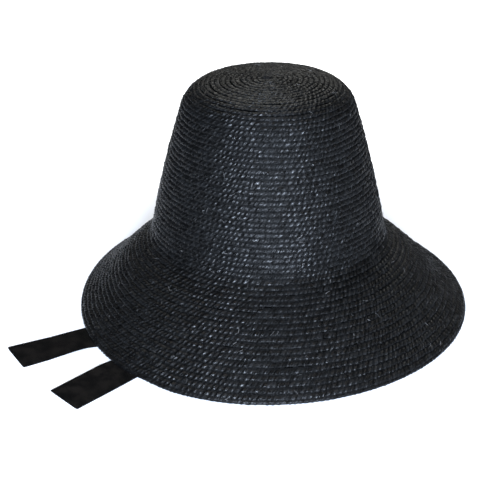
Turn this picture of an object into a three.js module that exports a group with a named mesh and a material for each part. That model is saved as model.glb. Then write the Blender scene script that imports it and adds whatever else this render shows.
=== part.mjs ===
// A straw hat sewn from braid: a tapered crown with a softly domed tip, a sloping brim that
// the hat rests on, and two ribbon tails sewn inside the crown that lie out under the rim.
// Millimetres, +Z up, -Y towards the front, +X to the side away from the tails. The origin is
// on the crown's axis, in the plane that the rim rests on.

import * as THREE from "three";

// Driving dimensions of the whole hat
const WALL = 2.4; // two overlapping rows of braid
const SEAM_GAP = 0.3; // clearance between pieces that are sewn together
const FACET_GAP = 0.1; // what a flat-sided wall stands in from the true curve
const CREASE_HEIGHT = 55.7; // where the crown meets the brim

// The crown's outside, measured from the crease up
const CROWN = {
  halfWidth: 97.7,
  halfDepth: 89.2,
  sideHeight: 113,
  shoulderShare: 0.71, // of the width at the crease that is left at the top of the side
  sideBelly: 0.019, // how far the side stands out of a straight cone, as a share of the width
  shoulderRadius: 26,
  tipSlopeDeg: 7, // the tip's slope where it leaves the shoulder
  segments: 72,
};
const CROWN_STEPS = { side: 7, shoulder: 5, tip: 3 };

// The brim's outer edge: an oval a little forward of the crown, not quite true, as pressed by hand
const RIM = { halfWidth: 162, halfDepth: 159.9, centreX: 1.7, centreY: -9.2 };
const RIM_WAVES = [
  { waves: 2, cosine: 0, sine: -1.2 },
  { waves: 3, cosine: 2.0, sine: -0.5 },
];
const BRIM = {
  belly: 1.7, // how far its middle stands above a straight slope
  bellyToFront: 1.9, // more of it at the front, as much less at the back
  bellyToCrease: 0.63, // the belly's highest part lies nearer the crease
  steps: 96,
  slopeSteps: 6,
};
// The rim's rounded edge and the flat foot under it
const EDGE = { noseHeight: 1.1, topInset: 0.6, topHeight: 1.95, footInset: 0.5, footWidth: 2.2 };
// The rim bends up over the ribbons, between two angles counted from +X
const RIM_LIFT = { height: 1.5, fromDeg: 197, toDeg: 232.5, fadeDeg: 11 };

// The ribbon tails
const RIBBON = {
  width: 30.5,
  thickness: 1,
  sewnFrom: 2, // heights above the crease between which it is sewn to the crown
  sewnTo: 20,
  flatBy: 0.6, // share of the fall by which it has lost the crown's curve
  columns: 4,
  sewnSteps: 4,
  fallSteps: 18,
  lyingSteps: 4,
};
const RIBBON_TAILS = [
  { name: "ribbon_tail_rear", rootDeg: 211.6, endX: -199, endY: -102 },
  { name: "ribbon_tail_front", rootDeg: 232.4, endX: -153.6, endY: -159.4 },
];
// How a tail falls from its seam to the floor: distance out from the seam, height above the floor
const RIBBON_FALL = [
  { out: 0.6, up: 50 },
  { out: 2.5, up: 40 },
  { out: 6.5, up: 29 },
  { out: 13, up: 18.5 },
  { out: 22, up: 9.5 },
  { out: 33, up: 3.6 },
  { out: 46, up: 0.9 },
  { out: 60, up: 0.5 },
];

const radians = THREE.MathUtils.degToRad;

// The crown's half-width as a share of that at the crease, at a height above the crease on its side
function sideShare(height) {
  const k = height / CROWN.sideHeight;
  return 1 - (1 - CROWN.shoulderShare) * k + CROWN.sideBelly * 4 * k * (1 - k);
}

// Stations along the crown's outside from the crease to the axis, each with the angle of the
// surface's outward normal above level
function crownStations() {
  const { halfWidth, sideHeight, shoulderShare, sideBelly, shoulderRadius } = CROWN;
  const stations = [];
  for (let i = 0; i <= CROWN_STEPS.side; i++) {
    const k = i / CROWN_STEPS.side;
    const height = k * sideHeight;
    const slope = (1 - shoulderShare - sideBelly * 4 * (1 - 2 * k)) * halfWidth / sideHeight;
    stations.push({ radius: sideShare(height) * halfWidth, height, lean: Math.atan(slope) });
  }
  const foot = stations[stations.length - 1];
  const centreRadius = foot.radius - shoulderRadius * Math.cos(foot.lean);
  const centreHeight = foot.height - shoulderRadius * Math.sin(foot.lean);
  const tipSlope = radians(CROWN.tipSlopeDeg);
  for (let i = 1; i <= CROWN_STEPS.shoulder; i++) {
    const lean = THREE.MathUtils.lerp(foot.lean, Math.PI / 2 - tipSlope, i / CROWN_STEPS.shoulder);
    stations.push({
      radius: centreRadius + shoulderRadius * Math.cos(lean),
      height: centreHeight + shoulderRadius * Math.sin(lean),
      lean,
    });
  }
  const tipEdge = stations[stations.length - 1];
  const rise = tipEdge.radius * Math.tan(tipSlope) / 2;
  for (let i = 1; i <= CROWN_STEPS.tip; i++) {
    const k = 1 - i / CROWN_STEPS.tip;
    stations.push({
      radius: tipEdge.radius * k,
      height: tipEdge.height + rise * (1 - k * k),
      lean: Math.PI / 2 - Math.atan(Math.tan(tipSlope) * k),
    });
  }
  return stations;
}

// The crown's wall as one closed outline, from the axis down the outside and back up the inside
function crownGeometry() {
  const stations = crownStations();
  const outside = stations.map(({ radius, height }) => new THREE.Vector2(radius, height));
  const inside = stations.map(({ radius, height, lean }) =>
    new THREE.Vector2(radius - WALL * Math.cos(lean), height - WALL * Math.sin(lean)));
  const hem = stations[0];
  inside[0].set(hem.radius - WALL / Math.cos(hem.lean), hem.height);
  inside[inside.length - 1].x = 0;
  outside[outside.length - 1].x = 0;
  const geometry = new THREE.LatheGeometry([...inside.reverse(), ...outside], CROWN.segments);
  geometry.rotateX(Math.PI / 2);
  geometry.scale(1, CROWN.halfDepth / CROWN.halfWidth, 1);
  return geometry;
}

// A closed ring through the same number of points at every step round it
function ringGeometry(pointsAt, steps) {
  const positions = [];
  const triangles = [];
  for (let step = 0; step < steps; step++) {
    for (const point of pointsAt(step / steps * Math.PI * 2)) positions.push(...point.toArray());
  }
  const count = positions.length / 3 / steps;
  for (let step = 0; step < steps; step++) {
    const here = step * count;
    const next = (step + 1) % steps * count;
    for (let i = 0; i < count; i++) {
      const j = (i + 1) % count;
      triangles.push(here + i, next + j, next + i, here + i, here + j, next + j);
    }
  }
  const geometry = new THREE.BufferGeometry();
  geometry.setAttribute("position", new THREE.Float32BufferAttribute(positions, 3));
  geometry.setIndex(triangles);
  geometry.computeVertexNormals();
  return geometry;
}

function creasePoint(angle) {
  return new THREE.Vector2(CROWN.halfWidth * Math.cos(angle), CROWN.halfDepth * Math.sin(angle));
}

function rimPoint(angle) {
  let out = 0;
  for (const { waves, cosine, sine } of RIM_WAVES) {
    out += cosine * Math.cos(waves * angle) + sine * Math.sin(waves * angle);
  }
  return new THREE.Vector2(
    RIM.centreX + (RIM.halfWidth + out) * Math.cos(angle),
    RIM.centreY + (RIM.halfDepth + out) * Math.sin(angle));
}

// How far the rim is held up by the ribbons under it, at an angle round the hat
function rimLift(angle) {
  const { height, fromDeg, toDeg, fadeDeg } = RIM_LIFT;
  const degrees = THREE.MathUtils.radToDeg(angle);
  const rise = THREE.MathUtils.smoothstep(degrees, fromDeg - fadeDeg, fromDeg);
  const fall = 1 - THREE.MathUtils.smoothstep(degrees, toDeg, toDeg + fadeDeg);
  return height * Math.min(rise, fall);
}

// The brim's outline in the upright plane from the crease to the rim: x runs outward, y is height
function brimOutline(angle, length) {
  const top = CREASE_HEIGHT - SEAM_GAP;
  const run = length - EDGE.topInset;
  const fall = top - EDGE.topHeight;
  const slant = Math.hypot(run, fall);
  const normal = new THREE.Vector2(fall / slant, run / slant);
  const belly = BRIM.belly - BRIM.bellyToFront * Math.sin(angle);
  const upper = [];
  const lower = [];
  for (let i = 0; i <= BRIM.slopeSteps; i++) {
    const k = i / BRIM.slopeSteps;
    const raised = belly * 4 * k * (1 - k) * (1 - BRIM.bellyToCrease * (k - 0.5));
    const point = new THREE.Vector2(run * k, top - fall * k).addScaledVector(normal, raised);
    upper.push(point);
    lower.push(point.clone().addScaledVector(normal, -WALL));
  }
  const slope = fall / run;
  const innerLow = new THREE.Vector2(-WALL, lower[0].y + (lower[0].x + WALL) * slope);
  const footEdge = length - EDGE.footInset;
  const edge = [
    new THREE.Vector2(length, EDGE.noseHeight),
    new THREE.Vector2(footEdge, 0),
    new THREE.Vector2(footEdge - EDGE.footWidth, 0),
  ];
  const collar = new THREE.Vector2(-WALL, top);
  return [collar, ...upper, ...edge, ...lower.slice(0, -1).reverse(), innerLow];
}

function brimGeometry() {
  return ringGeometry((angle) => {
    const crease = creasePoint(angle);
    const outward = rimPoint(angle).sub(crease);
    const length = outward.length();
    outward.normalize();
    const lift = rimLift(angle);
    return brimOutline(angle, length).map(({ x, y }) => {
      const place = crease.clone().addScaledVector(outward, x);
      const share = Math.max(0, x / length);
      return new THREE.Vector3(place.x, place.y, y + lift * share * share);
    });
  }, BRIM.steps);
}

// A closed strip of even thickness round a grid of points, given row by row
function stripGeometry(grid, thickness) {
  const rows = grid.length;
  const columns = grid[0].length;
  const at = (i, j) => grid[THREE.MathUtils.clamp(i, 0, rows - 1)][THREE.MathUtils.clamp(j, 0, columns - 1)];
  const positions = [];
  for (const side of [1, -1]) {
    for (let i = 0; i < rows; i++) {
      for (let j = 0; j < columns; j++) {
        const along = at(i + 1, j).clone().sub(at(i - 1, j));
        const across = at(i, j + 1).clone().sub(at(i, j - 1));
        const normal = along.cross(across).normalize();
        positions.push(...at(i, j).clone().addScaledVector(normal, side * thickness / 2).toArray());
      }
    }
  }
  const top = (i, j) => i * columns + j;
  const under = (i, j) => (rows + i) * columns + j;
  const triangles = [];
  const quad = (a, b, c, d) => triangles.push(a, b, c, a, c, d);
  for (let i = 0; i + 1 < rows; i++) {
    for (let j = 0; j + 1 < columns; j++) {
      quad(top(i, j), top(i + 1, j), top(i + 1, j + 1), top(i, j + 1));
      quad(under(i, j), under(i, j + 1), under(i + 1, j + 1), under(i + 1, j));
    }
    quad(top(i + 1, 0), top(i, 0), under(i, 0), under(i + 1, 0));
    quad(top(i, columns - 1), top(i + 1, columns - 1), under(i + 1, columns - 1), under(i, columns - 1));
  }
  for (let j = 0; j + 1 < columns; j++) {
    quad(top(0, j), top(0, j + 1), under(0, j + 1), under(0, j));
    quad(top(rows - 1, j + 1), top(rows - 1, j), under(rows - 1, j), under(rows - 1, j + 1));
  }
  const geometry = new THREE.BufferGeometry();
  geometry.setAttribute("position", new THREE.Float32BufferAttribute(positions, 3));
  geometry.setIndex(triangles);
  geometry.computeVertexNormals();
  return geometry;
}

// A ribbon tail: sewn flat against the inside of the crown, then falling free to the floor and
// lying straight out under the rim to its square-cut end
function ribbonGeometry({ rootDeg, endX, endY }) {
  const seat = WALL + SEAM_GAP + FACET_GAP + RIBBON.thickness / 2;
  const root = radians(rootDeg);
  const bend = Math.hypot(CROWN.halfWidth * Math.sin(root), CROWN.halfDepth * Math.cos(root)) - seat;
  const onWall = (offset, height) => {
    const angle = root + offset / bend;
    const share = sideShare(height);
    return new THREE.Vector3(
      (CROWN.halfWidth * share - seat) * Math.cos(angle),
      (CROWN.halfDepth * share - seat) * Math.sin(angle),
      CREASE_HEIGHT + height);
  };
  const offsets = [];
  for (let j = 0; j <= RIBBON.columns; j++) offsets.push((j / RIBBON.columns - 0.5) * RIBBON.width);

  const grid = [];
  for (let i = 0; i < RIBBON.sewnSteps; i++) {
    const height = THREE.MathUtils.lerp(RIBBON.sewnTo, RIBBON.sewnFrom, i / RIBBON.sewnSteps);
    grid.push(offsets.map((offset) => onWall(offset, height)));
  }

  const seam = onWall(0, RIBBON.sewnFrom);
  const outward = new THREE.Vector3(endX - seam.x, endY - seam.y, 0);
  const length = outward.length();
  outward.normalize();
  const sideways = new THREE.Vector3(0, 0, 1).cross(outward);
  const fall = new THREE.SplineCurve([
    new THREE.Vector2(0, seam.z),
    ...RIBBON_FALL.map(({ out, up }) => new THREE.Vector2(out, up)),
  ]);
  const freeRow = (out, up, flatness) => offsets.map((offset) => {
    const curved = onWall(offset, RIBBON.sewnFrom).sub(seam);
    const flat = sideways.clone().multiplyScalar(offset);
    const place = curved.lerp(flat, flatness).add(seam).addScaledVector(outward, out);
    return place.setZ(up);
  });
  for (let i = 0; i <= RIBBON.fallSteps; i++) {
    const k = i / RIBBON.fallSteps;
    const { x, y } = fall.getPointAt(k);
    grid.push(freeRow(x, y, THREE.MathUtils.smoothstep(k, 0, RIBBON.flatBy)));
  }
  const landed = RIBBON_FALL[RIBBON_FALL.length - 1];
  for (let i = 1; i <= RIBBON.lyingSteps; i++) {
    const out = THREE.MathUtils.lerp(landed.out, length, i / RIBBON.lyingSteps);
    grid.push(freeRow(out, landed.up, 1));
  }
  return stripGeometry(grid, RIBBON.thickness);
}

const STRAW = new THREE.MeshStandardMaterial({ color: 0x202226, roughness: 0.42, metalness: 0 });
const BRIM_STRAW = new THREE.MeshStandardMaterial({ color: 0x1c1d20, roughness: 0.45, metalness: 0 });
const RIBBON_CLOTH = new THREE.MeshStandardMaterial({ color: 0x131311, roughness: 0.9, metalness: 0 });

const hat = new THREE.Group();

const crown = new THREE.Mesh(crownGeometry(), STRAW);
crown.name = "crown";
crown.position.z = CREASE_HEIGHT;
hat.add(crown);

const brim = new THREE.Mesh(brimGeometry(), BRIM_STRAW);
brim.name = "brim";
hat.add(brim);

for (const tail of RIBBON_TAILS) {
  const ribbon = new THREE.Mesh(ribbonGeometry(tail), RIBBON_CLOTH);
  ribbon.name = tail.name;
  hat.add(ribbon);
}

export default hat;
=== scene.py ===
# %% [markdown]
# # A sewn straw hat with two ribbon tails
# The hat is one long flat plait of dyed straw, wound from the centre of the tip outwards and
# sewn to itself, each turn lapping under the one before it. The same plait makes the crown and
# then the brim. Two ribbons are sewn inside the crown and come out under the brim.
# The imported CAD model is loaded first. It fixes the size and the place of everything, and the
# pieces made here take the place of its plain solids.

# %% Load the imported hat
import math
import bpy
import numpy as np
from mathutils import Matrix, Vector


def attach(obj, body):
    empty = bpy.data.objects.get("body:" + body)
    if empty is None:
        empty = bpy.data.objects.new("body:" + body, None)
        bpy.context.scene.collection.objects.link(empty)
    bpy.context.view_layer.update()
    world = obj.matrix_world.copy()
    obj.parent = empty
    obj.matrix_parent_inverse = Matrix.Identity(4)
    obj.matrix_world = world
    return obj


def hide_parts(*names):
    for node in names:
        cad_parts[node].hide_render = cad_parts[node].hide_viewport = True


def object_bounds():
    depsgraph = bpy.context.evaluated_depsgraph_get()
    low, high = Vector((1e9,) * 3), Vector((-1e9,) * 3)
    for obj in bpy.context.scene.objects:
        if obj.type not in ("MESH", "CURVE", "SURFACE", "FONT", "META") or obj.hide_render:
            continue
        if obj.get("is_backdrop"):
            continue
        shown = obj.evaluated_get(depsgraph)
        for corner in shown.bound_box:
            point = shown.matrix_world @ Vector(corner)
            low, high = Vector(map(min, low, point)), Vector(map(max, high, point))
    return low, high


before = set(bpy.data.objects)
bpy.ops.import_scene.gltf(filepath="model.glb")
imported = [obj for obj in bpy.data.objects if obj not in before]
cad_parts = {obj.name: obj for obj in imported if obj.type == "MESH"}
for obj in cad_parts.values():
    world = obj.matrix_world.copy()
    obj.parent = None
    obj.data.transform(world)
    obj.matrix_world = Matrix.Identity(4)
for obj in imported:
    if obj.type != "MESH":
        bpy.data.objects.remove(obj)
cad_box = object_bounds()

MM = 0.001
print("solids to dress:", sorted(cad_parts))

# %% [markdown]
# # The camera
# The camera stands where the photographer's did, found from the hat's outline and the
# direction of its rows: a little above the hat, almost a metre away, with a short telephoto
# lens. It is turned by a fraction of a degree, because the photograph is not quite level.

# %% Camera
LENS = 85.68
LOOK_AT = Vector((-23.4, 0.0, 45.42)) * MM
DISTANCE = 959.4 * MM
ELEVATION = math.radians(28.3)
ROLL = math.radians(-0.69)

towards_camera = Vector((0.0, -math.cos(ELEVATION), math.sin(ELEVATION)))
camera = bpy.data.objects.new("camera", bpy.data.cameras.new("camera"))
camera.data.lens = LENS
camera.data.sensor_width = 36.0
turn = (-towards_camera).to_track_quat("-Z", "Y").to_matrix().to_4x4()
place = Matrix.Translation(LOOK_AT + towards_camera * DISTANCE)
camera.matrix_world = place @ turn @ Matrix.Rotation(ROLL, 4, "Z")
bpy.context.scene.collection.objects.link(camera)
bpy.context.scene.camera = camera
print("camera at", [round(x, 3) for x in camera.matrix_world.translation])

# %% [markdown]
# # Writing materials as sums
# A material is a tree of nodes. Long trees are hard to read, so a small class wraps a node's
# output and lets it take part in ordinary Python sums: `1 - groove` adds the Math node by
# itself. A second class holds one material and adds every other kind of node.

# %% Sums of sockets
class Value:
    """A node's output that can be added, subtracted and multiplied, from either side."""

    def __init__(self, finish, socket):
        self.finish = finish
        self.socket = socket

    def maths(self, operation, *inputs):
        return self.finish.node("ShaderNodeMath", {"operation": operation}, dict(enumerate(inputs)))

    def __add__(self, other):
        return self.maths("ADD", self, other)

    def __sub__(self, other):
        return self.maths("SUBTRACT", self, other)

    def __rsub__(self, other):
        return self.maths("SUBTRACT", other, self)

    def __mul__(self, other):
        return self.maths("MULTIPLY", self, other)

    def __abs__(self):
        return self.maths("ABSOLUTE", self)

    __radd__ = __add__
    __rmul__ = __mul__


class Finish:
    """One material, built from its nodes."""

    def __init__(self, name):
        self.material = bpy.data.materials.new(name)
        self.material.use_nodes = True
        self.tree = self.material.node_tree
        self.tree.nodes.clear()

    def node(self, kind, settings=None, sockets=None, output=0):
        """Adds a node: its settings first, then the values or links of its sockets."""
        added = self.tree.nodes.new(kind)
        for key, setting in (settings or {}).items():
            setattr(added, key, setting)
        for key, given in (sockets or {}).items():
            socket = added.inputs[key]
            if isinstance(given, Value):
                self.tree.links.new(given.socket, socket)
            else:
                socket.default_value = given
        return Value(self, added.outputs[output])

    def mix(self, share, first, second):
        """The first colour turning into the second as share goes from 0 to 1."""
        sockets = {0: share, 6: first, 7: second}
        return self.node("ShaderNodeMix", {"data_type": "RGBA"}, sockets, 2)

    def spread(self, value, low, high, new_low, new_high):
        """A value's range moved to another, and held there."""
        sockets = dict(enumerate((value, low, high, new_low, new_high)))
        return self.node("ShaderNodeMapRange", {"interpolation_type": "SMOOTHSTEP"}, sockets)

    def finished(self, shader):
        """Shows the shader on the surface, and hands the material over."""
        material_output = self.tree.nodes.new("ShaderNodeOutputMaterial")
        self.tree.links.new(shader.socket, material_output.inputs["Surface"])
        print("finish", self.material.name, "has", len(self.tree.nodes), "nodes")
        return self.material


def grey(level, warmth=0.0):
    """A colour near grey, warmer above zero and bluer below it."""
    return (level * (1 + warmth), level, level * (1 - warmth), 1.0)


# %% [markdown]
# # The room
# The photograph is a plain studio picture, cut out on white, with one broad cool light low in
# front that draws a soft band down the crown. The picture could be cut out and laid on white
# afterwards, but a white room needs no second step. The trouble with it is that white all round
# lights the black straw from every side. So the world is hidden from every ray but the camera's
# own, and so is the floor's glow, through the Light Path node. Close to the hat the floor
# doesn't glow, and shows the shadow that the hat stands in.

# %% Floor and world
FLOOR_SIZE = 8.0
GLOW_FROM = 0.16
GLOW_TO = 0.34
FLOOR_ROUGHNESS = 0.8

floor_finish = Finish("pale_floor")
floor_grain = floor_finish.node("ShaderNodeTexNoise", sockets={"Scale": 3.0})
floor_colour = floor_finish.mix(floor_grain, grey(0.9), grey(0.93))
floor_place = floor_finish.node("ShaderNodeTexCoord", output=3)
floor_distance = floor_finish.node(
    "ShaderNodeVectorMath", {"operation": "LENGTH"}, {0: floor_place}, 1)
far_share = floor_finish.spread(floor_distance, GLOW_FROM, GLOW_TO, 0.0, 1.0)
seen_directly = floor_finish.node("ShaderNodeLightPath")
floor_glow = floor_finish.mix(far_share * seen_directly, grey(0.0), grey(1.0))
floor_shader = floor_finish.node("ShaderNodeBsdfPrincipled", sockets={
    "Base Color": floor_colour, "Roughness": FLOOR_ROUGHNESS,
    "Emission Color": floor_glow, "Emission Strength": 1.0})

floor_mesh = bpy.data.meshes.new("floor")
half = FLOOR_SIZE / 2
corners = [(-half, -half, 0.0), (half, -half, 0.0), (half, half, 0.0), (-half, half, 0.0)]
floor_mesh.from_pydata(corners, [], [(0, 1, 2, 3)])
floor_mesh.materials.append(floor_finish.finished(floor_shader))
floor = bpy.data.objects.new("floor", floor_mesh)
bpy.context.scene.collection.objects.link(floor)
floor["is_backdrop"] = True

world = bpy.data.worlds.new("studio")
world.use_nodes = True
backdrop = world.node_tree.nodes["Background"]
backdrop.inputs["Color"].default_value = (1.0, 1.0, 1.0, 1.0)
backdrop.inputs["Strength"].default_value = 1.0
bpy.context.scene.world = world
for ray in ("diffuse", "glossy", "transmission", "scatter"):
    setattr(world.cycles_visibility, ray, False)
bpy.context.scene.view_settings.view_transform = "Standard"
print("the floor turns white from", GLOW_FROM, "to", GLOW_TO, "m off the hat's middle")

# %% [markdown]
# Area lights do the lighting, because a large area makes soft edges. The strengths were found
# by rendering the hat under each light alone, and adding the pictures up until the sum had the
# photograph's tones. Most of it is the key light. A warm one overhead shows the tip, a weaker
# one behind brightens the shoulder, and the one at the right hardly counts.

# %% Lights
LIGHTS_AIM = Vector((0.0, 0.0, 0.09))
STUDIO_LIGHTS = [
    {"name": "key", "at": (0.0, -1.7, 0.84), "size": (0.6, 0.5), "watts": 108.0,
     "colour": (0.7, 0.81, 1.0)},
    {"name": "right", "at": (1.46, 0.0, 1.22), "size": (0.9, 0.9), "watts": 1.0,
     "colour": (1.0, 0.9, 0.7)},
    {"name": "behind", "at": (0.0, 1.22, 1.46), "size": (0.9, 0.9), "watts": 12.0,
     "colour": (1.0, 0.99, 0.93)},
    {"name": "top", "at": (0.0, -0.3, 3.0), "size": (2.0, 2.0), "watts": 22.5,
     "colour": (1.0, 0.87, 0.75)},
]

for light in STUDIO_LIGHTS:
    lamp = bpy.data.objects.new(light["name"], bpy.data.lights.new(light["name"], "AREA"))
    lamp.data.shape = "RECTANGLE"
    lamp.data.size, lamp.data.size_y = light["size"]
    lamp.data.energy = light["watts"]
    lamp.data.color = light["colour"]
    lamp.location = light["at"]
    lamp.rotation_mode = "QUATERNION"
    lamp.rotation_quaternion = (LIGHTS_AIM - lamp.location).to_track_quat("-Z", "Y")
    bpy.context.scene.collection.objects.link(lamp)
print(len(STUDIO_LIGHTS), "studio lights")

# %% [markdown]
# # The form of the hat
# On the real hat, the form comes from a wooden block that the sewn plait is steamed over.
# Here it comes from the same named sizes as the CAD solids: a crown whose outline is a cone
# with a slight belly, a rounded shoulder and a soft dome, and a brim that slopes from the
# crease to an uneven oval rim. A place on it is given as rows of plait from the tip's centre
# and an angle round the hat, because the plait is laid in exactly those two directions.

# %% Crown outline
CREASE_HEIGHT = 55.7
CROWN_HALF_WIDTH = 97.7
CROWN_HALF_DEPTH = 89.2
SIDE_HEIGHT = 112.4
SHOULDER_SHARE = 0.71
SIDE_BELLY = 0.019
SHOULDER_RADIUS = 26.0
TIP_SLOPE = math.radians(7.0)
OUTLINE_STEPS = 200


def side_share(height):
    """The crown's width at a height over the crease, as a share of that at the crease."""
    k = height / SIDE_HEIGHT
    return 1 - (1 - SHOULDER_SHARE) * k + SIDE_BELLY * 4 * k * (1 - k)


def crown_outline():
    """Distances from the axis and heights over the crease, from the tip's centre down."""
    height = np.linspace(0.0, SIDE_HEIGHT, OUTLINE_STEPS)
    side = np.stack([side_share(height) * CROWN_HALF_WIDTH, height], 1)
    slope = (1 - SHOULDER_SHARE + 4 * SIDE_BELLY) * CROWN_HALF_WIDTH / SIDE_HEIGHT
    lean = np.linspace(math.atan(slope), math.pi / 2 - TIP_SLOPE, OUTLINE_STEPS)
    arc = np.stack([np.cos(lean), np.sin(lean)], 1) * SHOULDER_RADIUS
    shoulder = side[-1] + arc - arc[0]
    k = np.linspace(1.0, 0.0, OUTLINE_STEPS)
    edge_radius, edge_height = shoulder[-1]
    rise = edge_radius * math.tan(TIP_SLOPE) / 2
    tip = np.stack([edge_radius * k, edge_height + rise * (1 - k * k)], 1)
    return np.concatenate([side, shoulder[1:], tip[1:]])[::-1]


outline = crown_outline()
outline_length = np.concatenate([[0.0], np.cumsum(np.hypot(*np.diff(outline, axis=0).T))])
print("crown outline", round(outline_length[-1], 1), "mm from the tip's centre to the crease")

# %% Brim outline
RIM_HALF_WIDTH = 163.0
RIM_HALF_DEPTH = 161.5
RIM_CENTRE = (1.4, -11.4)
RIM_WAVES = [
    {"waves": 2, "cosine": 0.0, "sine": -1.2},
    {"waves": 3, "cosine": 2.0, "sine": -0.5},
]
BELLY = 0.6
BELLY_TO_FRONT = 3.0
BELLY_TO_CREASE = 0.63
SIDE_SWING = 1.2
RIM_INSET = 0.6
RIM_TOP_HEIGHT = 1.8
RIM_LIFT = 1.5
LIFT_FROM = 197.0
LIFT_TO = 232.5
LIFT_FADE = 11.0


def smooth(x, start, end):
    """From 0 at the start to 1 at the end, easing in and out."""
    k = np.clip((x - start) / (end - start), 0.0, 1.0)
    return k * k * (3 - 2 * k)


def rim_lift(angle):
    """How far the ribbons under the rim hold it up."""
    degrees = np.degrees(angle) % 360.0
    rise = smooth(degrees, LIFT_FROM - LIFT_FADE, LIFT_FROM)
    fall = 1 - smooth(degrees, LIFT_TO, LIFT_TO + LIFT_FADE)
    return RIM_LIFT * np.minimum(rise, fall)


def rim_point(angle):
    """The rim's outline on the table: an oval with a few slow waves in it."""
    out = sum(w["cosine"] * np.cos(w["waves"] * angle) + w["sine"] * np.sin(w["waves"] * angle)
              for w in RIM_WAVES)
    return (RIM_CENTRE[0] + (RIM_HALF_WIDTH + out) * np.cos(angle),
            RIM_CENTRE[1] + (RIM_HALF_DEPTH + out) * np.sin(angle))


rim_round = np.radians(np.arange(0, 360))
rim_x, rim_y = rim_point(rim_round)
print("rim", round(np.ptp(rim_x), 1), "mm wide and", round(np.ptp(rim_y), 1), "mm deep")

# %% [markdown]
# The crown has 47 rows and the brim 20, as counted in the photograph. The rows of the brim are
# a little wider apart at the front, where the brim is longer.
# Straw can't be folded sharply, so the crease between crown and brim is a soft hollow, wider at
# the front, where the brim turns down the most.

# %% A place on the hat
CROWN_ROWS = 47.0
BRIM_ROWS = 20.0
ALL_ROWS = CROWN_ROWS + BRIM_ROWS
ROW_PITCH = 4.16
CREASE_BEND = math.radians(39.0)
CREASE_FACES = math.radians(33.5)
CREASE_REACH = 6.0
CREASE_REACH_FRONT = 7.0


def crown_place(rows, angle):
    """A place on the crown: the outline, squeezed from front to back."""
    length = np.clip(rows, 0.0, CROWN_ROWS) / CROWN_ROWS * outline_length[-1]
    radius = np.interp(length, outline_length, outline[:, 0])
    height = np.interp(length, outline_length, outline[:, 1])
    across = radius * np.cos(angle)
    deep = radius * np.sin(angle) * CROWN_HALF_DEPTH / CROWN_HALF_WIDTH
    return np.stack([across, deep, CREASE_HEIGHT + height], -1)


def brim_place(rows, angle):
    """A place on the brim: a straight slope from crease to rim, with a belly on it."""
    k = (rows - CROWN_ROWS) / BRIM_ROWS
    crease_x = CROWN_HALF_WIDTH * np.cos(angle)
    crease_y = CROWN_HALF_DEPTH * np.sin(angle)
    rim_x, rim_y = rim_point(angle)
    length = np.hypot(rim_x - crease_x, rim_y - crease_y)
    run = length - RIM_INSET
    fall = CREASE_HEIGHT - RIM_TOP_HEIGHT
    slant = np.hypot(run, fall)
    belly = BELLY - BELLY_TO_FRONT * np.sin(angle)
    raised = belly * 4 * k * (1 - k) * (1 - BELLY_TO_CREASE * (k - 0.5))
    raised = raised + SIDE_SWING * np.cos(angle) ** 2 * np.sin(2 * math.pi * k)
    out = run * k + fall / slant * raised
    height = CREASE_HEIGHT - fall * k + run / slant * raised
    height += rim_lift(angle) * np.maximum(0.0, out / length) ** 2
    x = crease_x + (rim_x - crease_x) * out / length
    y = crease_y + (rim_y - crease_y) * out / length
    return np.stack([x, y, height], -1)


def crease_fill(rows, angle):
    """How far the rounding of the crease lies outside the sharp corner."""
    reach = CREASE_REACH + CREASE_REACH_FRONT * np.maximum(0.0, -np.sin(angle))
    near = np.clip(1 - np.abs(rows - CROWN_ROWS) * ROW_PITCH / reach, 0.0, 1.0)
    fill = CREASE_BEND / 4 * reach * near ** 2
    out = fill * math.cos(CREASE_FACES)
    return np.stack([out * np.cos(angle), out * np.sin(angle), fill * math.sin(CREASE_FACES)], -1)


def hat_place(rows, angle):
    """The outside of the hat, in millimetres."""
    on_crown = (rows < CROWN_ROWS)[..., None]
    sharp = np.where(on_crown, crown_place(rows, angle), brim_place(rows, angle))
    return sharp + crease_fill(rows, angle)


def hat_outward(rows, angle):
    """The direction straight out of the hat. Half a row each way rounds the crease."""
    down = hat_place(rows + 0.5, angle) - hat_place(np.maximum(rows - 0.5, 0.0), angle)
    safe_rows = np.maximum(rows, 0.3)
    round_it = hat_place(safe_rows, angle + 0.01) - hat_place(safe_rows, angle - 0.01)
    normal = np.cross(down, round_it)
    return normal / np.linalg.norm(normal, axis=-1, keepdims=True)


front = math.radians(270.0)
for rows in (0.0, CROWN_ROWS, ALL_ROWS):
    print("front, row", rows, "at", hat_place(np.array(rows), front).round(1), "mm")

# %% [markdown]
# # The path of the plait
# The plait starts at the tip's centre and each turn moves one row outwards. Its last turn
# stays on the rim and slides under the turn before it, so that the edge of the hat is whole:
# a sewer ends a hat in this way. The end is at the back.
# The path is measured along its length, because the stitches of the plait are as long on a
# short turn as on a long one.

# %% Spiral path
TURNS = int(ALL_ROWS) + 1
END_ANGLE = math.radians(100.0)
PATH_STEPS = 240

path_angle = np.linspace(0.0, TURNS * 2 * math.pi, TURNS * PATH_STEPS + 1)


def path_rows(turned):
    """Rows from the tip's centre to the plait's lower edge, by the angle that it has turned."""
    return np.minimum(turned / (2 * math.pi), ALL_ROWS)


middle_of_row = np.maximum(path_rows(path_angle) - 0.5, 0.0)
path_points = hat_place(middle_of_row, path_angle + END_ANGLE)
path_length = np.linalg.norm(np.diff(path_points, axis=0), axis=1)
path_length = np.concatenate([[0.0], np.cumsum(path_length)])
print("plait of", round(path_length[-1] / 1000, 1), "m in", TURNS, "turns")

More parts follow.
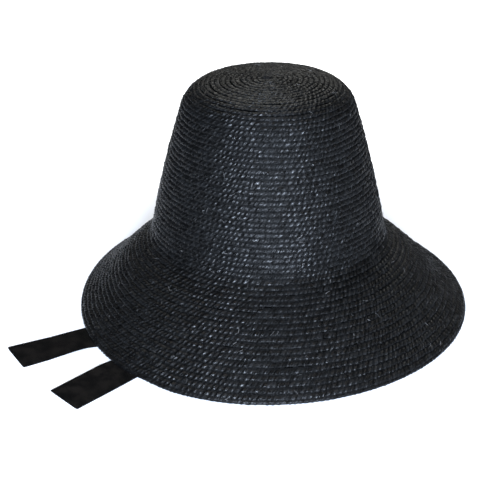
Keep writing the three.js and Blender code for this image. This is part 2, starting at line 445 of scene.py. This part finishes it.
# %% [markdown]
# # The section of the plait
# A flat plait turns each straw over at its edge and sends it back across, so every straw
# winds round the plait like the strand of a rope: leaning the same way on the outside and,
# seen from inside, on the inside too. One ring of points goes round the plait's section, and
# each point's lead shifts it along, so that the lines of the mesh follow the straws. A whole
# turn of the ring leads by two stitches, which closes the tube on itself.
# Modelling the relief gives every straw its own highlight and shadow, which no flat texture
# does at the rim and in the shoulder.

# %% Section and stitches
STITCH = 4.1
STITCHES_ROUND = 2
SECTION = [
    {"down": -4.35, "out": -1.20, "groove": 0.20, "lead": 3.20, "waist": 0.30, "edge": 0.0},
    {"down": -3.50, "out": -0.54, "groove": 0.48, "lead": 2.57, "waist": 0.40, "edge": 0.0},
    {"down": -2.55, "out": -0.12, "groove": 0.59, "lead": 1.87, "waist": 0.46, "edge": 0.0},
    {"down": -1.55, "out": 0.00, "groove": 0.61, "lead": 1.14, "waist": 0.46, "edge": 0.3},
    {"down": -0.60, "out": -0.20, "groove": 0.54, "lead": 0.44, "waist": 0.40, "edge": 0.8},
    {"down": 0.00, "out": -0.75, "groove": 0.30, "lead": 0.00, "waist": 0.34, "edge": 1.0},
    {"down": -0.45, "out": -1.20, "groove": 0.18, "lead": -0.30, "waist": 0.34, "edge": 0.8},
    {"down": -2.20, "out": -1.60, "groove": 0.25, "lead": -1.58, "waist": 0.46, "edge": 0.0},
    {"down": -4.00, "out": -2.00, "groove": 0.25, "lead": -2.90, "waist": 0.46, "edge": 0.0},
    {"down": -5.60, "out": -2.05, "groove": 0.11, "lead": -4.08, "waist": 0.34, "edge": 0.0},
]
EDGE_POINT = 5
ACROSS_STRAW = [0.0, 0.2, 0.4, 0.6, 0.8]


def column(name):
    """One value of the section at each of its points."""
    return np.array([point[name] for point in SECTION])


section_point = np.arange(len(SECTION))[None, :]
at_edge = section_point == EDGE_POINT
faces_out = section_point <= EDGE_POINT
in_sight = faces_out & (section_point > 0)
plait_width = -column("down").min()
stitches = int(path_length[-1] / STITCH) - 2 * STITCHES_ROUND
columns = stitches * len(ACROSS_STRAW)
print(stitches, "stitches of", STITCH, "mm,", columns * len(SECTION) * 2, "triangles in all")

# %% [markdown]
# Nothing made by hand is even. Straws differ in height and width, the stitches stretch and
# crowd along the plait, and the rows wander a little under the sewing machine. All of it comes
# from one seeded generator, so that every run makes the same hat.

# %% Unevenness
random = np.random.default_rng(41)
straws = stitches + 2


def wander(along, lengths, size):
    """A slow random drift along the plait: a few waves of different lengths."""
    drift = np.zeros_like(along)
    for length in lengths:
        drift += np.sin(2 * math.pi * along / length + random.uniform(0, 2 * math.pi))
    return drift * size / len(lengths)


straw_height = random.normal(0.0, 0.14, straws)
straw_waist = np.clip(random.normal(1.0, 0.15, straws), 0.6, 1.4)
straw_tilt = random.normal(0.0, 0.58, straws)
straw_pitch = random.normal(0.0, 0.27, straws)
straw_reach = random.normal(0.0, 0.26, straws)
straw_place = np.clip(random.normal(0.0, 0.12, straws), -0.25, 0.25)
print("straws differ in height by", round(float(straw_height.std()), 2), "mm")

# %% [markdown]
# A straw's own shape comes first. It swells along its middle and closes in the groove beside
# it, and each one stands a little higher, lower or more askew than the next.

# %% Straws
STITCH_DRIFT = (23.0, 37.0, 61.0)
TUCKED_RELIEF = 0.3
PITCH_ARM = 2.1


def straw_columns():
    """For each column of the mesh: its straw, how far across that it is, and where along."""
    index = np.arange(columns + 1)
    straw = index // len(ACROSS_STRAW)
    across = np.array(ACROSS_STRAW)[index % len(ACROSS_STRAW)]
    phase = straw + across
    shifted = straw_place[straw] * (1 - across) + straw_place[straw + 1] * across
    along = phase + shifted + wander(phase, STITCH_DRIFT, 1.1) + STITCHES_ROUND
    along = along * STITCH
    return straw, across, phase, along[:, None] + column("lead")[None, :]


def straw_swell(straw, across):
    """The straw's rounded section: 1 along its middle, 0 in the grooves beside it."""
    half_width = column("waist")[None, :] * straw_waist[straw][:, None]
    offset = np.minimum(np.abs(across - 0.5)[:, None] / half_width, 1.0)
    return np.sqrt(1 - offset ** 2)


def straw_rise(straw, across, swell, shown):
    """How far the straw stands out of the smooth plait, with its own height and lean."""
    rise = column("groove")[None, :] * (swell - 1)
    rise = rise * (TUCKED_RELIEF + (1 - TUCKED_RELIEF) * shown)
    lean = straw_tilt[straw] * (across - 0.5)
    arm = 1 + column("down") / PITCH_ARM
    lean = lean[:, None] + straw_pitch[straw][:, None] * arm[None, :]
    return rise + (straw_height[straw][:, None] + lean) * swell


print("a straw takes", len(ACROSS_STRAW), "columns of the mesh, the plait", columns)

# %% [markdown]
# The straws then go on the smooth plait. Three places need their own touch. The tip is pressed
# flat on the block, so its rows lap less and its straws are more even. The edge of the rim is
# pressed too, or it would be a saw. And where the last turn is tucked under the one before, it
# is narrow, deep and nearly smooth.

# %% Plait vertices
RIM_PRESS = 0.75
RIM_EVENNESS = 0.65
TIP_FLATNESS = 0.93
TIP_EVENNESS = 0.55
TIP_FLAT_TO = (13.0, 19.0)
TUCKED_WIDTH = 0.25
TUCKED_OUT = np.where(faces_out, -1.25, -1.7)
EDGE_NOTCH = 0.7
ROW_DRIFT = (29.0, 67.0, 131.0, 190.0)
SWELL_DRIFT = (83.0, 149.0)
FLOOR_GAP = 0.1


def plait_points():
    """Every vertex of the plait as an array of columns, section points and coordinates."""
    straw, across, phase, along = straw_columns()
    turned = np.interp(along, path_length, path_angle)
    edge_rows = path_rows(turned)
    shown = 1 - np.clip(turned / (2 * math.pi) - ALL_ROWS, 0.0, 1.0)
    on_tip = TIP_FLATNESS * (1 - smooth(edge_rows, *TIP_FLAT_TO))
    at_rim = np.clip(edge_rows - (ALL_ROWS - 1), 0.0, 1.0)
    even_edge = 1 - RIM_EVENNESS * at_rim
    swell = straw_swell(straw, across)

    out = column("out")[None, :] * (1 - on_tip * in_sight)
    out = TUCKED_OUT + (out - TUCKED_OUT) * shown
    rise = np.where(faces_out, 1.0, -1.0) * straw_rise(straw, across, swell, shown)
    out = out + rise * (1 - TIP_EVENNESS * on_tip) * even_edge
    out = out - RIM_PRESS * at_rim * column("edge")[None, :]

    down = column("down")[None, :] * np.minimum(1.0, edge_rows / (plait_width / ROW_PITCH))
    down = down * (TUCKED_WIDTH + (1 - TUCKED_WIDTH) * shown)
    reach = straw_reach[straw][:, None] * column("edge")[None, :] * swell
    down = down + (reach - EDGE_NOTCH * (1 - swell) * at_edge) * even_edge
    down = down + wander(along, ROW_DRIFT, 0.55) * (1 - at_rim)
    out = out + wander(along, SWELL_DRIFT, 0.12)

    rows = np.maximum(edge_rows + down / ROW_PITCH, 0.0)
    angle = turned + END_ANGLE
    return hat_place(rows, angle) + hat_outward(rows, angle) * out[..., None], phase, turned


points, phase, turned = plait_points()
print("lowest point of the plait", round(points[..., 2].min(), 2), "mm over the floor")
points[..., 2] = np.maximum(points[..., 2], FLOOR_GAP)
print("straws that touch the table are pressed flat on it,", FLOOR_GAP, "mm up")

# %% [markdown]
# # The plait as meshes
# One mesh of the whole plait would be too heavy to handle, so it is cut across the spiral into
# six pieces that share their end points. Each gets a map laid out like lines of writing, one
# line for each stretch of plait, so that a finish baked on it is neither stretched nor cut up.

# %% Plait pieces
LINES = 24
LINE_MARGIN = 0.02
END_MARGIN = 0.01
PLAIT_PIECES = [
    {"name": "plait_crown_tip", "node": "crown", "from_turn": 0, "to_turn": 20},
    {"name": "plait_crown_upper", "node": "crown", "from_turn": 20, "to_turn": 34},
    {"name": "plait_crown_lower", "node": "crown", "from_turn": 34, "to_turn": 47},
    {"name": "plait_brim_inner", "node": "brim", "from_turn": 47, "to_turn": 55},
    {"name": "plait_brim_middle", "node": "brim", "from_turn": 55, "to_turn": 62},
    {"name": "plait_brim_outer", "node": "brim", "from_turn": 62, "to_turn": 69},
]
RING = len(SECTION)
ring_steps = np.hypot(*(np.roll(column(name), -1) - column(name) for name in ("down", "out")))
ring_share = np.concatenate([[0.0], np.cumsum(ring_steps)]) / ring_steps.sum()


def plait_faces(first, last):
    """Four-cornered faces round the tube from one column to another."""
    here = np.arange(first, last)[:, None]
    i = np.arange(RING)[None, :]
    behind = STITCHES_ROUND * len(ACROSS_STRAW)
    wraps = i == RING - 1
    next_point = (i + 1) % RING
    next_here = np.where(wraps, here - behind, here)
    corners = [here * RING + i, (here + 1) * RING + i,
               (next_here + 1) * RING + next_point, next_here * RING + next_point]
    faces = np.stack(corners, -1)
    keep = np.broadcast_to(next_here >= 0, faces.shape[:2])
    along = (here - first) / (last - first) * LINES
    line = np.minimum(np.floor(along), LINES - 1)
    step = LINES / (last - first)
    low, high = ring_share[i], ring_share[i + 1]
    u = np.stack(np.broadcast_arrays(along - line, along - line + step,
                                     along - line + step, along - line), -1)
    v = np.stack(np.broadcast_arrays(low, low, high, high), -1)
    v = LINE_MARGIN + (1 - 2 * LINE_MARGIN) * v
    v = np.broadcast_to((line[..., None] + v) / LINES, faces.shape)
    u = np.broadcast_to(END_MARGIN + (1 - 2 * END_MARGIN) * u, faces.shape)
    return faces[keep], np.stack([u[keep], v[keep]], -1)


def plait_mesh(name, first, last):
    """One piece of the plait, with its map and its straws' own coordinates."""
    faces, uv = plait_faces(first, last)
    used, local = np.unique(faces, return_inverse=True)
    mesh = bpy.data.meshes.new(name)
    mesh.vertices.add(len(used))
    mesh.vertices.foreach_set("co", (points.reshape(-1, 3)[used] * MM).ravel())
    mesh.loops.add(faces.size)
    mesh.loops.foreach_set("vertex_index", local.reshape(-1).astype(np.int32))
    mesh.polygons.add(len(faces))
    mesh.polygons.foreach_set("loop_start", np.arange(0, faces.size, 4, dtype=np.int32))
    mesh.polygons.foreach_set("use_smooth", np.ones(len(faces), bool))
    mesh.update(calc_edges=True)
    layer = mesh.uv_layers.new(name="OFBake")
    layer.uv.foreach_set("vector", uv.reshape(-1).astype(np.float32))
    straw = mesh.attributes.new("straw", "FLOAT_VECTOR", "POINT")
    place = np.stack([phase[used // RING], ring_share[used % RING],
                      turned.reshape(-1)[used] / (2 * math.pi)], -1)
    straw.data.foreach_set("vector", place.astype(np.float32).ravel())
    return mesh


turn_column = np.searchsorted(turned[:, EDGE_POINT] / (2 * math.pi), np.arange(TURNS + 2))
turn_column = np.minimum(turn_column, columns)
plait_objects = []
for piece in PLAIT_PIECES:
    first, last = turn_column[piece["from_turn"]], turn_column[piece["to_turn"]]
    mesh = plait_mesh(piece["name"], first, last)
    plait = bpy.data.objects.new(piece["name"], mesh)
    bpy.context.scene.collection.objects.link(plait)
    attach(plait, "root")
    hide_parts(piece["node"])
    plait_objects.append(plait)
    print(piece["name"], len(mesh.polygons) * 2, "triangles")

# %% [markdown]
# # Black dyed straw
# Dyed straw keeps the sheen of its outer skin. Each straw took the dye a little differently, and
# its fibres run along it. Its grooves are darkened in colour as painted shade. An image could be
# painted for this, but the straw's own coordinates, kept on the mesh, make it exact and of any
# sharpness: which straw, how far across it, how far round the plait, and how many turns from the
# tip.

# %% Straw coordinates
straw_finish = Finish("black_straw")
place = straw_finish.node("ShaderNodeAttribute", {"attribute_name": "straw"}, output=1)
along_plait, round_plait, turn_of_plait = (
    straw_finish.node("ShaderNodeSeparateXYZ", sockets={0: place}, output=part)
    for part in range(3))
which_straw = along_plait.maths("FLOOR", along_plait)
across_straw = along_plait.maths("FRACT", along_plait)


def straw_chance(place_in_straw):
    """A number from 0 to 1 that is the same all over a straw and different on the next."""
    sockets = {"W": which_straw + place_in_straw}
    return straw_finish.node("ShaderNodeTexWhiteNoise", {"noise_dimensions": "1D"}, sockets)


def straw_noise(lines_across, marks_along, detail):
    """A noise drawn out along the straw, with its own pattern on every straw."""
    where = straw_finish.node("ShaderNodeCombineXYZ", sockets={
        0: along_plait * lines_across, 1: round_plait * marks_along, 2: tone_chance * 40.0})
    return straw_finish.node("ShaderNodeTexNoise", sockets={
        "Vector": where, "Scale": 1.0, "Detail": detail, "Roughness": 0.55})


tone_chance = straw_chance(0.5)
gloss_chance = straw_chance(0.25)
print("the straw's coordinates take", len(straw_finish.tree.nodes), "nodes")

# %% [markdown]
# Colour comes first. Shade is painted into it: the colour is darkest in the grooves between straws,
# along the crease down the middle of each, under the lap of the next row, and in the seam below the
# edge, where shadow would fall. The tip was pressed flat and its rows lap less, so the painted
# shade in its seams and under its laps is fainter. A few pale specks are places where the dye
# didn't take.

# %% Straw colour
fibres = straw_noise(13.0, 9.0, 3.0)
specks = straw_noise(5.0, 34.0, 2.0)
# Painted shade: these masks mark the grooves between straws, the crease down each straw, the seam
# below each row's edge and the part under the next row's lap, where the colour is darkened as if
# shadow fell there.
groove = straw_finish.spread(abs(across_straw - 0.5), 0.31, 0.47, 0.0, 1.0)
lower_half = straw_finish.spread(round_plait, 0.21, 0.25, 0.0, 1.0)
crease_place = 0.4 + gloss_chance * 0.2
crease_line = straw_finish.spread(abs(across_straw - crease_place), 0.03, 0.15, 1.0, 0.0)
crease = crease_line * (0.25 + lower_half * 0.75)
seam = straw_finish.spread(round_plait, 0.30, 0.37, 0.0, 1.0)
under_lap_shade = straw_finish.spread(round_plait, 0.03, 0.10, 1.0, 0.0)
off_tip = straw_finish.spread(turn_of_plait, *TIP_FLAT_TO, 0.1, 1.0)
# The share of painted shade: grooves and creases everywhere, seams and under-laps off the tip. The
# same share also roughens the straw.
deep = groove * 0.6 + crease * 0.7 + (seam * 0.7 + under_lap_shade * 0.8) * off_tip

dark = straw_finish.mix(fibres, grey(0.001), grey(0.004, -0.04))
light_straw = straw_finish.spread(tone_chance, 0.3, 1.0, 0.0, 0.8)
dyed = straw_finish.mix(light_straw, dark, grey(0.008, -0.06))
speck_share = straw_finish.spread(specks, 0.66, 0.74, 0.0, 0.8)
specked = straw_finish.mix(speck_share, dyed, grey(0.07, -0.02))
# Painted shade: the colour turns nearly black where that share is high.
straw_colour = straw_finish.mix(deep, specked, grey(0.0008))
print("with its colour, the straw's finish has", len(straw_finish.tree.nodes), "nodes")

# %% [markdown]
# Nearly all of the light on black straw is sheen, so roughness and relief matter more than
# colour. A straw isn't a smooth rod: it folds and flattens as it is plaited, and a bump breaks
# its highlight into the short dashes of the photograph. The sheen is anisotropic, because the
# skin is made of fine ribs. The shader's own direction runs round the upright axis, which is
# along the rows here, and a quarter turn of it stretches each highlight down across them. That
# draws the band of light on the front of the crown.

# %% Straw sheen
FOLD_DEPTH = 0.55

folds = straw_noise(2.0, 6.5, 1.0)
straw_relief = folds + fibres * 0.1 - crease * 0.6
straw_bump = straw_finish.node("ShaderNodeBump", sockets={
    "Strength": 1.0, "Distance": FOLD_DEPTH * MM, "Height": straw_relief})
straw_roughness = 0.185 + fibres * 0.1 + gloss_chance * 0.16 + deep * 0.5
straw_shader = straw_finish.node("ShaderNodeBsdfPrincipled", sockets={
    "Base Color": straw_colour, "Roughness": straw_roughness, "Normal": straw_bump,
    "Specular IOR Level": 0.2, "Anisotropic": 0.5, "Anisotropic Rotation": 0.25})
straw_finish.finished(straw_shader)
for plait in plait_objects:
    plait.data.materials.append(straw_finish.material)

# %% [markdown]
# # Loose ends
# Where a straw runs out, the plaiter lays in the next one, and the ends that are not trimmed
# away stay on the hat as short pale hairs. Scattered hair particles would do, but a few
# hundred thin strips in one mesh are lighter and stay where they are. Each starts on the plait,
# follows its slope roughly and lifts a little off it.

# %% Loose end shape
LOOSE_ENDS = 260
LOOSE_FROM, LOOSE_TO = 0.01, 0.985
LOOSE_LENGTH = (1.5, 5.5)
LOOSE_HEADING = (-0.5, 0.7)
LOOSE_CURL = 0.3
LOOSE_SEAT = 0.05
LOOSE_LIFT = (0.2, 0.9)
LOOSE_WIDTH = 0.26
LOOSE_STEPS = np.linspace(0.0, 1.0, 7)


def loose_end_lines():
    """The middle lines of the loose ends, and the direction out of the hat along them."""
    start = np.sort(random.uniform(LOOSE_FROM, LOOSE_TO, LOOSE_ENDS)) * path_length[-1]
    turned = np.interp(start, path_length, path_angle)[:, None]
    rows = path_rows(turned) - random.uniform(0.1, 0.9, (LOOSE_ENDS, 1))
    length = random.uniform(*LOOSE_LENGTH, (LOOSE_ENDS, 1)) * LOOSE_STEPS[None, :]
    heading = random.normal(*LOOSE_HEADING, (LOOSE_ENDS, 1))
    heading = heading + random.normal(0.0, LOOSE_CURL, (LOOSE_ENDS, 1)) * LOOSE_STEPS[None, :]
    first = hat_place(rows, turned + END_ANGLE)
    radius = np.maximum(np.hypot(first[..., 0], first[..., 1]), 6.0)
    angle = turned + END_ANGLE + length * np.cos(heading) / radius
    rows = np.clip(rows + length * np.sin(heading) / ROW_PITCH, 0.4, ALL_ROWS - 0.4)
    outward = hat_outward(rows, angle)
    lift = random.uniform(*LOOSE_LIFT, (LOOSE_ENDS, 1)) * LOOSE_STEPS[None, :] ** 1.5
    return hat_place(rows, angle) + outward * (LOOSE_SEAT + lift)[..., None], outward


def loose_end_mesh(lines, outward):
    """Three-sided strips round the lines, thinner towards both ends."""
    along = np.gradient(lines, axis=1)
    sideways = np.cross(along, outward)
    sideways /= np.linalg.norm(sideways, axis=-1, keepdims=True)
    thickness = LOOSE_WIDTH / 2 * (0.35 + 0.65 * np.sin(math.pi * (LOOSE_STEPS * 0.8 + 0.1)))
    thickness = thickness[None, :, None]
    corners = [lines + sideways * thickness, lines + outward * thickness * 0.8,
               lines - sideways * thickness]
    verts = np.stack(corners, 2)
    count, steps = verts.shape[:2]
    index = np.arange(count * steps * 3).reshape(count, steps, 3)
    here, after = index[:, :-1], index[:, 1:]
    faces = np.stack([here, after, np.roll(after, -1, 2), np.roll(here, -1, 2)], -1)
    caps = np.concatenate([index[:, 0], index[:, -1, ::-1]])
    mesh = bpy.data.meshes.new("loose_straw_ends")
    all_faces = faces.reshape(-1, 4).tolist() + caps.tolist()
    mesh.from_pydata((verts.reshape(-1, 3) * MM).tolist(), [], all_faces)
    return mesh


loose_mesh = loose_end_mesh(*loose_end_lines())
print(LOOSE_ENDS, "loose ends,", len(loose_mesh.polygons), "faces")

# %% [markdown]
# A broken end shows the inside of the straw, where little dye holds. So the ends are pale, some
# more than others, by a noise that changes from one to the next.

# %% Loose ends
loose_finish = Finish("pale_fibre")
fibre_coordinates = loose_finish.node("ShaderNodeTexCoord", output=3)
fibre_tone = loose_finish.node("ShaderNodeTexNoise", sockets={
    "Vector": fibre_coordinates, "Scale": 140.0, "Detail": 2.0})
fibre_share = loose_finish.spread(fibre_tone, 0.4, 0.7, 0.0, 1.0)
fibre_colour = loose_finish.mix(fibre_share, grey(0.02), grey(0.22, 0.03))
fibre_shader = loose_finish.node("ShaderNodeBsdfPrincipled", sockets={
    "Base Color": fibre_colour, "Roughness": 0.5 + fibre_share * 0.2})
loose_mesh.materials.append(loose_finish.finished(fibre_shader))
loose_object = bpy.data.objects.new("loose_straw_ends", loose_mesh)
bpy.context.scene.collection.objects.link(loose_object)
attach(loose_object, "root")

# %% [markdown]
# # The ribbon tails
# Each ribbon is sewn flat inside the crown just above the crease, falls to the table and lies
# on it out under the rim, to a straight cut end. A ribbon bends easily along its length and
# hardly at all across it, so a strip of straight cross lines on a falling curve gives its
# shape without a simulation. New ribbon doesn't lie quite flat either: past the rim, an edge
# stands a millimetre or two off the table, and each ribbon has its own.

# %% Ribbon sizes
WALL = 2.4
RIBBON_WIDTH = 30.5
RIBBON_THICK = 0.55
EDGE_THICKNESS = 0.55
RIBBON_SEAT = WALL + 0.9
SEWN_FROM = 2.0
SEWN_TO = 20.0
FLAT_BY = 0.6
SLANT_OVER = 18.0
ROUND_FROM = 0.86
ACROSS_STEPS = 20
ALONG_STEP = 1.5
RIBBON_TAILS = [
    {"name": "ribbon_tail_rear", "root": 211.6, "end": (-199.1, -105.9), "bow": -0.5,
     "slant": -1.7, "round": (0.2, 0.9),
     "far_lift": {"out": (100.0, 134.0), "up": (0.0, 1.8)},
     "near_lift": {"out": (72.0, 80.0, 88.0, 112.0), "up": (0.0, 1.3, 1.3, 0.0)}},
    {"name": "ribbon_tail_front", "root": 232.4, "end": (-154.3, -162.4), "bow": 0.3,
     "slant": -0.7, "round": (0.7, 0.2),
     "far_lift": {"out": (72.0, 90.0, 136.0), "up": (0.0, 2.3, 2.0)},
     "near_lift": {"out": (72.0, 136.0), "up": (0.0, 0.0)}},
]
RIBBON_FALL = [
    {"out": 0.6, "up": 50.0},
    {"out": 2.5, "up": 40.0},
    {"out": 6.5, "up": 29.0},
    {"out": 13.0, "up": 18.5},
    {"out": 22.0, "up": 9.5},
    {"out": 33.0, "up": 3.6},
    {"out": 46.0, "up": 0.9},
    {"out": 60.0, "up": 0.5},
]
LYING = RIBBON_FALL[-1]
across_ribbon = np.linspace(-0.5, 0.5, ACROSS_STEPS + 1) * RIBBON_WIDTH
ribbon_edge = across_ribbon / (RIBBON_WIDTH / 2)
print(len(RIBBON_TAILS), "ribbons,", RIBBON_WIDTH, "mm wide, lying from", LYING["out"], "mm out")

# %% Ribbon lines
def smooth_line(knots, steps=24):
    """A curve through the knots, with its tangent at each along the line of its neighbours."""
    ends = np.concatenate([[2 * knots[0] - knots[1]], knots, [2 * knots[-1] - knots[-2]]])
    t = np.linspace(0.0, 1.0, steps, endpoint=False)[:, None]
    spans = []
    for before, start, end, after in zip(ends, ends[1:], ends[2:], ends[3:]):
        spans.append(0.5 * (2 * start + (end - before) * t
                            + (2 * before - 5 * start + 4 * end - after) * t ** 2
                            + (3 * start - before - 3 * end + after) * t ** 3))
    return np.concatenate(spans + [knots[-1:]])


def lengths_along(line):
    """How far along the line each of its points lies."""
    steps = np.linalg.norm(np.diff(line, axis=0), axis=1)
    return np.concatenate([[0.0], np.cumsum(steps)])


def even_steps(line, step):
    """The same line with its points an even step apart."""
    length = lengths_along(line)
    at = np.linspace(0.0, length[-1], max(2, round(length[-1] / step)) + 1)
    return np.stack([np.interp(at, length, part) for part in line.T], 1)


def fall_line(height, length):
    """The free part from the side: distances out and heights, and the share of the fall done."""
    knots = [[0.0, height]] + [[knot["out"], knot["up"]] for knot in RIBBON_FALL]
    knots = np.array(knots + [[length, LYING["up"]]])
    fall_length = lengths_along(knots[:-1])[-1]
    line = even_steps(smooth_line(knots), ALONG_STEP)
    return line, lengths_along(line) / fall_length


def wall_row(root, height):
    """A cross line of the ribbon, flat on the inside of the crown at a height."""
    bend = math.hypot(CROWN_HALF_WIDTH * math.sin(root), CROWN_HALF_DEPTH * math.cos(root))
    angle = root + across_ribbon / (bend - RIBBON_SEAT)
    share = side_share(height)
    return np.stack([(CROWN_HALF_WIDTH * share - RIBBON_SEAT) * np.cos(angle),
                     (CROWN_HALF_DEPTH * share - RIBBON_SEAT) * np.sin(angle),
                     np.full_like(angle, CREASE_HEIGHT + height)], 1)


def edge_lift(tail, out):
    """How far each point of a cross line stands off the table."""
    far, near = (np.interp(out, tail[side]["out"], tail[side]["up"])
                 for side in ("far_lift", "near_lift"))
    return far * (1 - ribbon_edge) / 2 + near * (1 + ribbon_edge) / 2


def cut_end(tail, out, length):
    """How far the slanted cut, with its worn corners, reaches past a square end."""
    cut = tail["slant"] * ribbon_edge * smooth(out, length - SLANT_OVER, length)
    corner = np.where(ribbon_edge > 0, *tail["round"])
    at_end = out > length - ALONG_STEP / 2
    return cut - corner * smooth(np.abs(ribbon_edge), ROUND_FROM, 1.0) * at_end


sewn_end = wall_row(math.radians(RIBBON_TAILS[0]["root"]), SEWN_TO)
print("the rear ribbon is sewn from", sewn_end[0].round(1), "to", sewn_end[-1].round(1), "mm")

# %% [markdown]
# Each cross line starts curved, as the wall of the crown is, and turns straight as it falls. The
# surface through the middle of the cloth comes first. A thin closed strip goes round it, since a
# bare surface would have no edge to catch the light.

# %% Ribbon shape
def ribbon_rows(tail):
    """The ribbon's middle surface: cross lines from its sewn end to its cut end."""
    root = math.radians(tail["root"])
    sewn = [wall_row(root, height) for height in np.arange(SEWN_TO, SEWN_FROM, -ALONG_STEP)]
    seam_row = wall_row(root, SEWN_FROM)
    seam = seam_row[ACROSS_STEPS // 2]
    outward = np.array([*tail["end"], seam[2]]) - seam
    length = np.linalg.norm(outward)
    outward = outward / length
    sideways = np.cross([0.0, 0.0, 1.0], outward)
    curved = seam_row - seam
    flat = sideways[None, :] * across_ribbon[:, None]
    free = []
    for (out, up), fallen in zip(*fall_line(seam[2], length)):
        flatness = smooth(fallen, 0.0, FLAT_BY)
        row = curved * (1 - flatness) + flat * flatness + seam + outward * out
        lying = smooth(out, LYING["out"], length)
        row = row + sideways * tail["bow"] * 4 * lying * (1 - lying)
        row = row + outward * cut_end(tail, out, length)[:, None]
        row[:, 2] = up + edge_lift(tail, out)
        free.append(row)
    return np.array(sewn + free)


def quads(*corners):
    """Four-cornered faces from four arrays of vertex numbers."""
    return np.stack(corners, -1).reshape(-1, 4).tolist()


def ribbon_mesh(name, rows):
    """A thin closed strip round the middle surface, with its edges rounded."""
    along = np.gradient(rows, axis=0)
    across = np.gradient(rows, axis=1)
    normal = np.cross(along, across)
    normal /= np.linalg.norm(normal, axis=-1, keepdims=True)
    count, wide = rows.shape[:2]
    half_thick = np.full(wide, RIBBON_THICK / 2)
    half_thick[[0, -1]] *= EDGE_THICKNESS
    upper = rows + normal * half_thick[None, :, None]
    lower = rows - normal * half_thick[None, :, None]
    verts = np.concatenate([upper.reshape(-1, 3), lower.reshape(-1, 3)])
    top = np.arange(count * wide).reshape(count, wide)
    under = top + count * wide
    faces = quads(top[:-1, :-1], top[1:, :-1], top[1:, 1:], top[:-1, 1:])
    faces += quads(under[:-1, :-1], under[:-1, 1:], under[1:, 1:], under[1:, :-1])
    faces += quads(top[:-1, 0], under[:-1, 0], under[1:, 0], top[1:, 0])
    faces += quads(top[1:, -1], under[1:, -1], under[:-1, -1], top[:-1, -1])
    faces += quads(top[0, 1:], under[0, 1:], under[0, :-1], top[0, :-1])
    faces += quads(top[-1, :-1], under[-1, :-1], under[-1, 1:], top[-1, 1:])
    mesh = bpy.data.meshes.new(name)
    mesh.from_pydata((verts * MM).tolist(), [], faces)
    mesh.polygons.foreach_set("use_smooth", np.ones(len(mesh.polygons), bool))
    mesh.update()
    along_ribbon = lengths_along(rows[:, wide // 2])
    cloth = np.broadcast_arrays(across_ribbon[None, :], along_ribbon[:, None], 0.0)
    cloth = np.stack(cloth, -1).reshape(-1, 3)
    attribute = mesh.attributes.new("cloth", "FLOAT_VECTOR", "POINT")
    both_sides = np.concatenate([cloth, cloth]).astype(np.float32)
    attribute.data.foreach_set("vector", both_sides.ravel())
    return mesh


ribbon_surfaces = [ribbon_rows(tail) for tail in RIBBON_TAILS]
print("the ribbons have", [len(rows) for rows in ribbon_surfaces], "cross lines")

# %% [markdown]
# # Black ribbon
# The ribbon is a plain weave, matte and nearly black, with a firmer edge on both sides that
# keeps it from fraying, and a mottle where it has been handled. A woven image could be wrapped
# on it, but the mesh keeps each point's place on the flat ribbon in millimetres, so two waves,
# one across and one along, make threads of the right size that follow every bend.

# %% Ribbon finish
THREAD = 0.5
SELVEDGE = 1.1

ribbon_finish = Finish("black_ribbon")
cloth_place = ribbon_finish.node("ShaderNodeAttribute", {"attribute_name": "cloth"}, output=1)
across_cloth, along_cloth = (
    ribbon_finish.node("ShaderNodeSeparateXYZ", sockets={0: cloth_place}, output=part)
    for part in range(2))
warp = across_cloth.maths("SINE", across_cloth * (2 * math.pi / THREAD))
weft = along_cloth.maths("SINE", along_cloth * (2 * math.pi / THREAD))
weave = warp * weft * 0.5 + 0.5
to_edge = RIBBON_WIDTH / 2 - abs(across_cloth)
selvedge = ribbon_finish.spread(to_edge, SELVEDGE * 0.7, SELVEDGE, 1.0, 0.0)

broad_mottle = ribbon_finish.node("ShaderNodeTexNoise", sockets={
    "Vector": cloth_place, "Scale": 0.09, "Detail": 3.0, "Roughness": 0.6})
fine_mottle = ribbon_finish.node("ShaderNodeTexNoise", sockets={
    "Vector": cloth_place, "Scale": 1.1, "Detail": 2.0, "Roughness": 0.6})
mottle = ribbon_finish.spread(broad_mottle * 0.6 + fine_mottle * 0.4, 0.42, 0.6, 0.0, 1.0)
cloth_colour = ribbon_finish.mix(mottle, grey(0.0006, 0.2), grey(0.0068, 0.2))
woven_colour = ribbon_finish.mix(weave * 0.5, cloth_colour, grey(0.0015))
ribbon_colour = ribbon_finish.mix(selvedge * 0.35, woven_colour, grey(0.011, 0.03))
ribbon_bump = ribbon_finish.node("ShaderNodeBump", sockets={
    "Strength": 0.8, "Distance": 0.08 * MM, "Height": weave + selvedge * 0.8})
ribbon_shader = ribbon_finish.node("ShaderNodeBsdfPrincipled", sockets={
    "Base Color": ribbon_colour, "Roughness": 0.85 + mottle * 0.1, "Normal": ribbon_bump,
    "Specular IOR Level": 0.06})
ribbon_finish.finished(ribbon_shader)

# %% [markdown]
# Each ribbon takes the place of its solid. Its cloth coordinates keep the width and the length of
# the cloth laid out flat, in millimetres.

# %% Ribbons
for tail, rows in zip(RIBBON_TAILS, ribbon_surfaces):
    mesh = ribbon_mesh("cloth_" + tail["name"], rows)
    mesh.materials.append(ribbon_finish.material)
    ribbon = bpy.data.objects.new("cloth_" + tail["name"], mesh)
    bpy.context.scene.collection.objects.link(ribbon)
    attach(ribbon, "root")
    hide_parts(tail["name"])

# %% [markdown]
# The sizes
# The boxes of the solids and of the dressed hat are written side by side, so that a change of
# size shows at once.

# %% Sizes
made_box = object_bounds()
boxes = {
    "cad": [list(corner) for corner in cad_box],
    "visual": [list(corner) for corner in made_box],
}
for name, box in boxes.items():
    print(name, [[round(x * 1000, 1) for x in corner] for corner in box])
